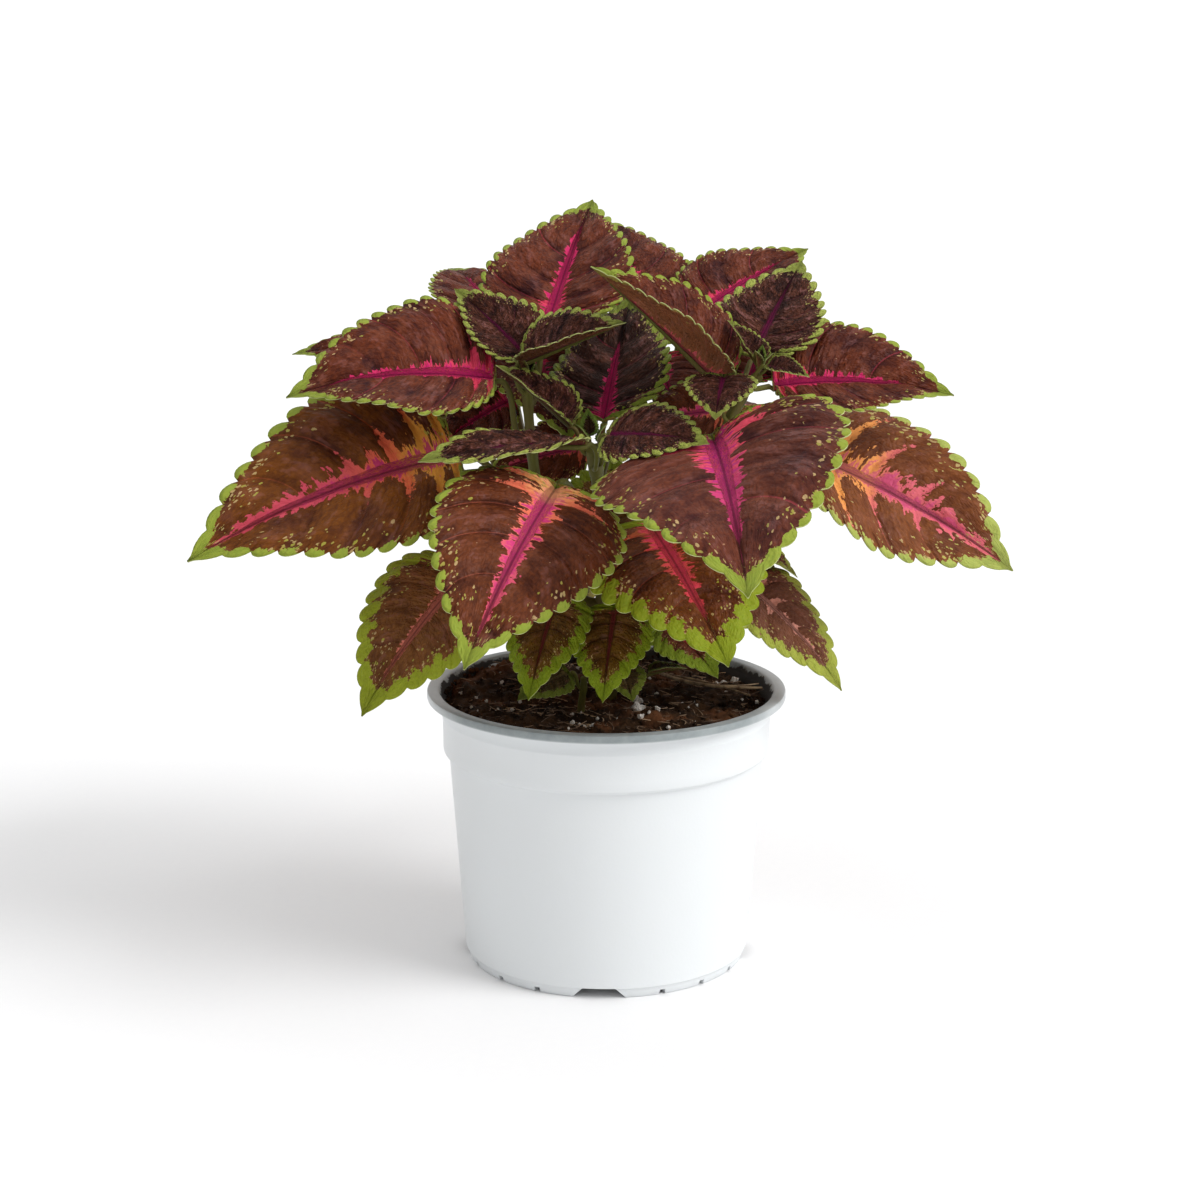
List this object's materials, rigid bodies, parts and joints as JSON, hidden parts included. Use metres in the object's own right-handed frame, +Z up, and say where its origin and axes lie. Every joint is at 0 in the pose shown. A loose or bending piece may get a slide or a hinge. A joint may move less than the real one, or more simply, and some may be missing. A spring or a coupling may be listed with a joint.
{
  "type": "potted coleus",
  "caption": "Bushy potted coleus: branching stems with opposite maroon leaves, lime scalloped margins and pink midribs, rooted in peat in a white plastic nursery pot.",
  "frame": {"origin": "Centre of the pot's foot, on the surface it stands on. It is also the bottom centre of the whole plant's box, to within 1 mm.", "axes": "+Z up, the way the plant grows. +X to the right and -Y to the front, the plant's fuller side."},
  "size_m": [0.2886, 0.2856, 0.2706],
  "materials": {
    "pot_plastic": "satin, slightly blue white polypropylene",
    "peat": "moist peat mix with coir and perlite, fully matt",
    "stem_green": "olive green, fleshy and slightly shiny",
    "leaf_low": "wide lime margin, maroon centre, pale pink midrib, soft sheen",
    "leaf_old": "orange brown to maroon, lime scalloped margin, pink midrib, soft sheen",
    "leaf_mature": "maroon, lime scalloped margin, magenta midrib, soft sheen",
    "leaf_young": "dark purple, lime beaded margin, magenta midrib, quilted, soft sheen"
  },
  "bodies": {
    "root": {"pot": "pot_plastic", "soil": "peat", "stem_main": "stem_green", "stem_left": "stem_green", "stem_right": "stem_green", "stem_rear_left": "stem_green", "stem_rear_right": "stem_green", "stem_basal": "stem_green", "leaf_main_1": "leaf_low", "leaf_main_2": "leaf_low", "leaf_main_3": "leaf_low", "leaf_main_4": "leaf_low", "leaf_main_5": "leaf_old", "leaf_main_6": "leaf_old", "leaf_main_7": "leaf_mature", "leaf_main_8": "leaf_young", "leaf_main_9": "leaf_young", "leaf_main_10": "leaf_young", "leaf_main_11": "leaf_young", "leaf_left_1": "leaf_old", "leaf_left_2": "leaf_mature", "leaf_left_3": "leaf_mature", "leaf_left_4": "leaf_young", "leaf_left_5": "leaf_young", "leaf_left_6": "leaf_mature", "leaf_right_1": "leaf_old", "leaf_right_2": "leaf_mature", "leaf_right_3": "leaf_young", "leaf_right_4": "leaf_mature", "leaf_right_5": "leaf_mature", "leaf_right_6": "leaf_young", "leaf_right_7": "leaf_young", "leaf_right_8": "leaf_young", "leaf_right_9": "leaf_old", "leaf_right_10": "leaf_mature", "leaf_rear_left_1": "leaf_old", "leaf_rear_left_2": "leaf_mature", "leaf_rear_left_3": "leaf_mature", "leaf_rear_left_4": "leaf_mature", "leaf_rear_left_5": "leaf_young", "leaf_rear_left_6": "leaf_young", "leaf_rear_left_7": "leaf_mature", "leaf_rear_right_1": "leaf_old", "leaf_rear_right_2": "leaf_mature", "leaf_rear_right_3": "leaf_mature", "leaf_rear_right_4": "leaf_mature", "leaf_rear_right_5": "leaf_mature", "leaf_rear_right_6": "leaf_young", "leaf_rear_right_7": "leaf_mature", "leaf_main_12": "leaf_low", "leaf_main_13": "leaf_low", "leaf_main_14": "leaf_low", "leaf_main_15": "leaf_low", "leaf_main_16": "leaf_low", "leaf_main_17": "leaf_low", "leaf_main_20": "leaf_old", "leaf_main_21": "leaf_low", "leaf_main_18": "leaf_low", "leaf_main_19": "leaf_low", "leaf_basal_1": "leaf_low"}
  },
  "joints": []
}
